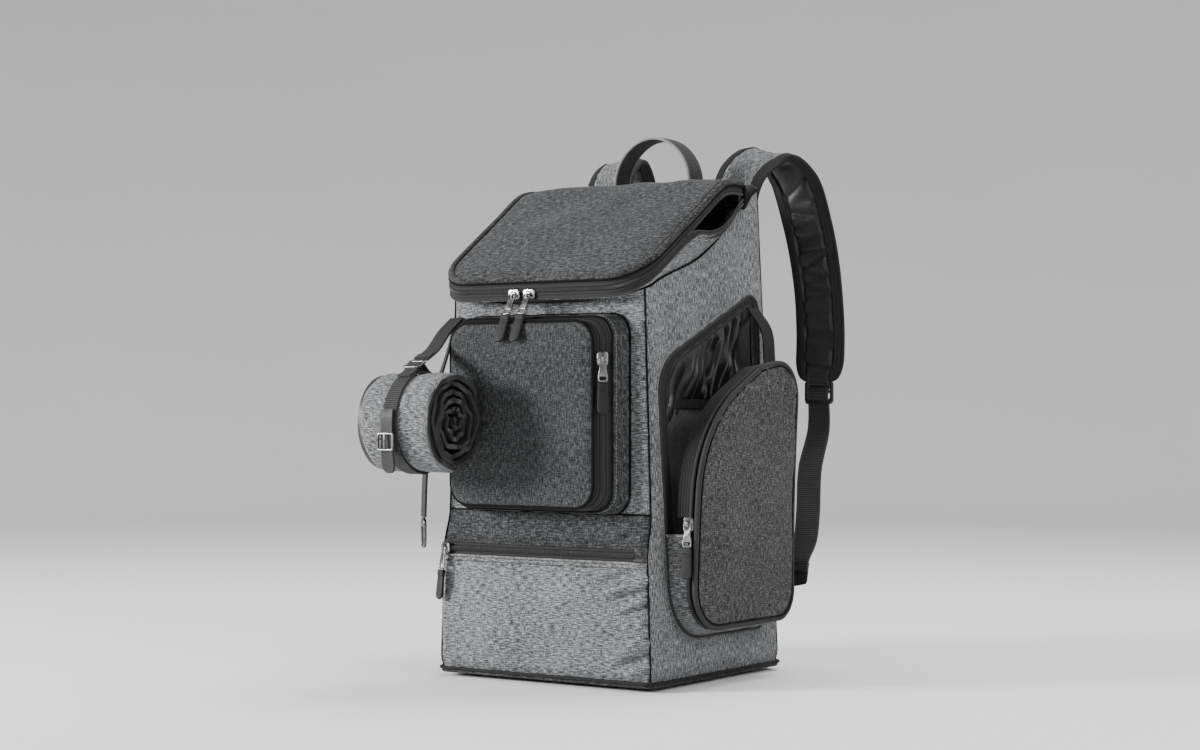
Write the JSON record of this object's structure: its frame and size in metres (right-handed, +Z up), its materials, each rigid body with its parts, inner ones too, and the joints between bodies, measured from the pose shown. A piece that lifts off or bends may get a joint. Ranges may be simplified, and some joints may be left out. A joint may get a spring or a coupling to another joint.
{
  "type": "diaper backpack",
  "caption": "Tall soft backpack with a sloping zipped lid, front and lower pockets, an open side compartment, padded shoulder straps and a strapped-on rolled mat.",
  "frame": {"origin": "middle of the whole object's footprint, on the surface it stands on", "axes": "+X to the right seen from the front, +Y to the back (shoulder straps), +Z up"},
  "size_m": [0.3374, 0.4674, 0.5533],
  "materials": {
    "light_cloth": "light grey heather",
    "dark_cloth": "dark grey heather",
    "zip_tape": "woven tape with a coil",
    "webbing": "ribbed webbing",
    "lining": "smooth black lining and net",
    "rubber": "moulded matt rubber",
    "metal": "polished",
    "plastic": "moulded"
  },
  "bodies": {
    "bag": {"side_opening_zip": "zip_tape", "side_lining": "lining", "side_mesh_pocket": "lining", "side_gusset": "light_cloth", "side_door": "dark_cloth", "side_door_zip": "zip_tape", "side_stay": "lining", "front_panel": "light_cloth", "left_panel": "light_cloth", "back_panel": "light_cloth", "lower_pocket_band": "dark_cloth", "lower_pocket_zip": "zip_tape", "lower_pocket_panel": "light_cloth", "right_panel": "light_cloth", "base_panel": "dark_cloth", "foot_front_left": "rubber", "foot_front_right": "rubber", "foot_back_left": "rubber", "foot_back_right": "rubber", "mouth_facing": "light_cloth", "mouth_zip": "zip_tape", "lid_zip": "zip_tape", "lid": "dark_cloth", "top_yoke": "dark_cloth", "top_handle": "webbing", "front_pocket_gusset": "dark_cloth", "front_pocket_zip": "zip_tape", "front_pocket_panel": "dark_cloth", "strap_pad_right": "light_cloth", "strap_buckle_right": "plastic", "strap_web_right": "webbing", "strap_anchor_right": "webbing", "strap_pad_left": "light_cloth", "strap_buckle_left": "plastic", "strap_web_left": "webbing", "strap_anchor_left": "webbing", "changing_mat": "light_cloth", "mat_strap": "webbing", "mat_strap_tab": "rubber", "mat_buckle": "metal", "mat_hanger": "webbing", "mat_hanger_ring": "metal", "clip_strap": "webbing", "clip_hook": "metal", "lid_left_slider": "metal", "lid_right_slider": "metal", "front_slider": "metal", "lower_slider": "metal", "side_slider": "metal"},
    "lid_left_zip_pull": {"lid_left_pull": "metal", "lid_left_tab": "rubber"},
    "lid_right_zip_pull": {"lid_right_pull": "metal", "lid_right_tab": "rubber"},
    "front_zip_pull": {"front_pull": "metal", "front_tab": "rubber"},
    "lower_zip_pull": {"lower_pull": "metal", "lower_tab": "rubber"},
    "side_zip_pull": {"side_pull": "metal", "side_tab": "rubber"}
  },
  "joints": [
    {"name": "lid_left_pull_swing", "type": "hinge", "parent": "bag", "child": "lid_left_zip_pull", "pos_m": [-0.02898, -0.12092, 0.381], "axis": [-1, 0, 0], "range_deg": [0, 130]},
    {"name": "lid_right_pull_swing", "type": "hinge", "parent": "bag", "child": "lid_right_zip_pull", "pos_m": [-0.01098, -0.12092, 0.381], "axis": [-1, 0, 0], "range_deg": [0, 130]},
    {"name": "front_pull_swing", "type": "hinge", "parent": "bag", "child": "front_zip_pull", "pos_m": [0.08362, -0.12882, 0.317], "axis": [-0.766, -0.6428, 0], "range_deg": [0, 130]},
    {"name": "lower_pull_swing", "type": "hinge", "parent": "bag", "child": "lower_zip_pull", "pos_m": [-0.12398, -0.10982, 0.13], "axis": [-0.9397, 0.342, 0], "range_deg": [0, 130]},
    {"name": "side_pull_swing", "type": "hinge", "parent": "bag", "child": "side_zip_pull", "pos_m": [0.14602, -0.07782, 0.16], "axis": [-0.9903, -0.1392, 0], "range_deg": [0, 130]}
  ]
}
